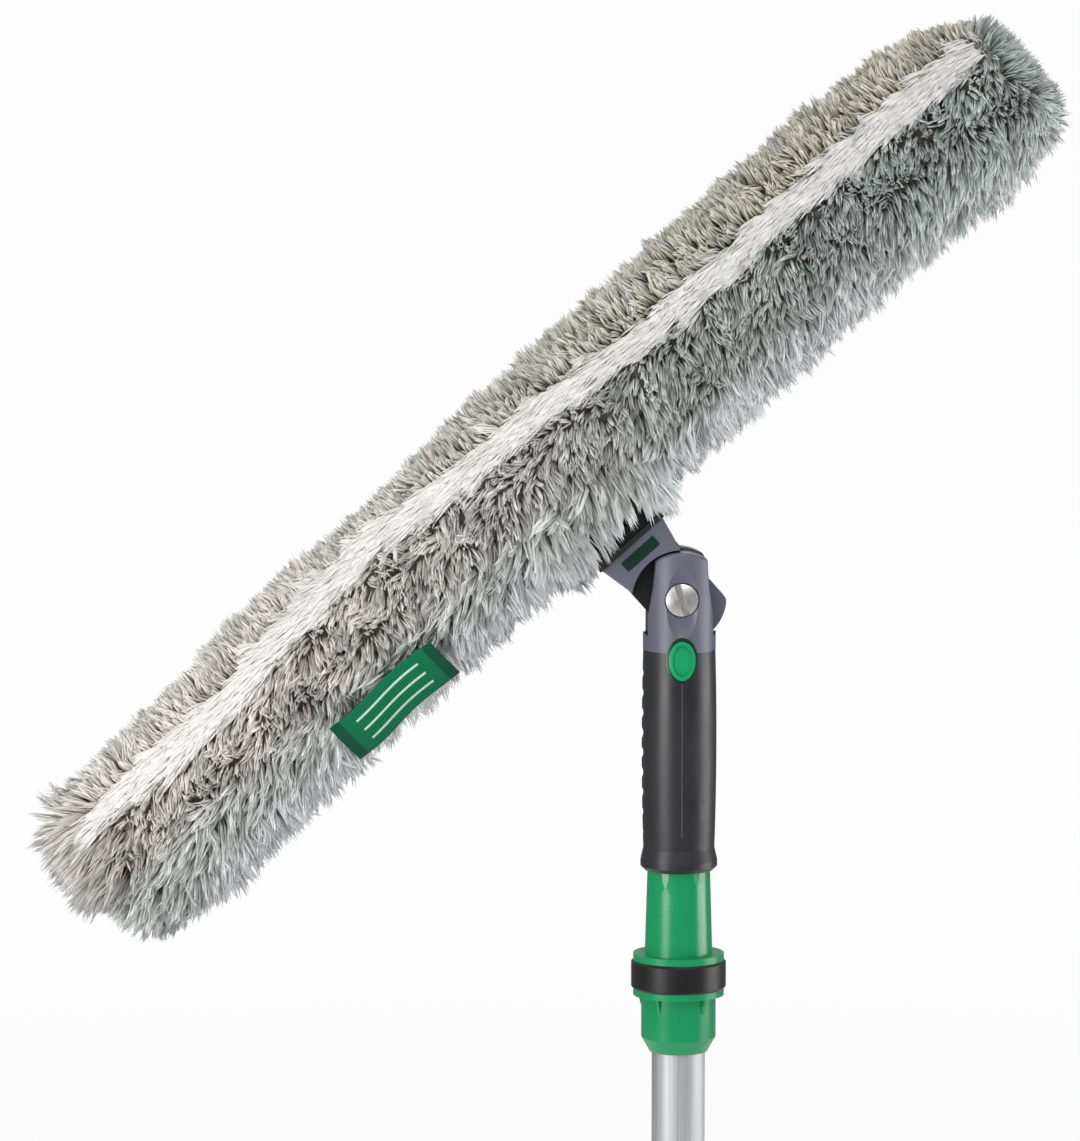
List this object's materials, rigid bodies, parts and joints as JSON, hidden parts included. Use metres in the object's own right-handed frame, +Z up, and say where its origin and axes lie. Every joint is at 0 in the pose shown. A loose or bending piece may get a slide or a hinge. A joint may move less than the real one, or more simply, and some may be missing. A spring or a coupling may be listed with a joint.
{
  "type": "window scrubber",
  "caption": "Plush washing sleeve on a T-bar that tilts in the forked head of a ridged grip, locked on the cone of a thin pole and released by an oval push button.",
  "frame": {"origin": "middle of the pole's foot, on the tube's axis", "axes": "+Z up the pole, +Y away from the viewer and parallel to the swivel's axis, +X to the right; at rest the sleeve's right end is raised"},
  "size_m": [0.3798, 0.057, 0.5306],
  "materials": {
    "aluminium": "brushed and anodised",
    "black_plastic": "fine mould grain",
    "green_plastic": "smooth, glossy",
    "dark_green_plastic": "smooth, glossy",
    "black_rubber": "matt",
    "grey_plastic": "satin, fine grain",
    "grip_elastomer": "satin",
    "stainless_steel": "bright, turned",
    "white_nylon": "smooth",
    "bronze": "turned",
    "plush_pile": "long grey pile with a white stripe",
    "woven_lining": "plain weave",
    "woven_label": "plain woven, bare",
    "black_tape": "hook and loop"
  },
  "bodies": {
    "handle": {"pole_tube": "aluminium", "tube_end_plug": "black_plastic", "locking_cone": "green_plastic", "bumper_ring": "black_rubber", "cross_pin": "stainless_steel", "handle_core": "grey_plastic", "grip_sleeve": "grip_elastomer", "button_bezel": "dark_green_plastic", "lock_spring": "stainless_steel", "pivot_screw": "stainless_steel", "front_friction_washer": "white_nylon", "rear_friction_washer": "white_nylon", "spring_washer": "stainless_steel", "lock_nut": "stainless_steel"},
    "button": {"release_button": "green_plastic", "lock_pin": "stainless_steel"},
    "head": {"swivel_head": "grey_plastic", "pivot_bush": "bronze", "badge_plate": "dark_green_plastic", "crossbar": "black_plastic", "left_bar_cap": "black_plastic", "right_bar_cap": "black_plastic", "neck_screws": "stainless_steel", "sleeve_backing": "woven_lining", "sleeve_pile": "plush_pile", "sleeve_label": "woven_label", "hook_tape": "black_tape", "loop_tape": "black_tape"}
  },
  "joints": [
    {"name": "head_tilt", "type": "hinge", "parent": "handle", "child": "head", "pos_m": [0, 0, 0.312], "axis": [0, 1, 0], "range_deg": [-48.5, 131.5]},
    {"name": "button_press", "type": "slide", "parent": "handle", "child": "button", "axis": [0, 1, 0], "range_m": [0, 0.002], "stiffness_N_per_m": 700, "deforming": ["lock_spring"]}
  ]
}
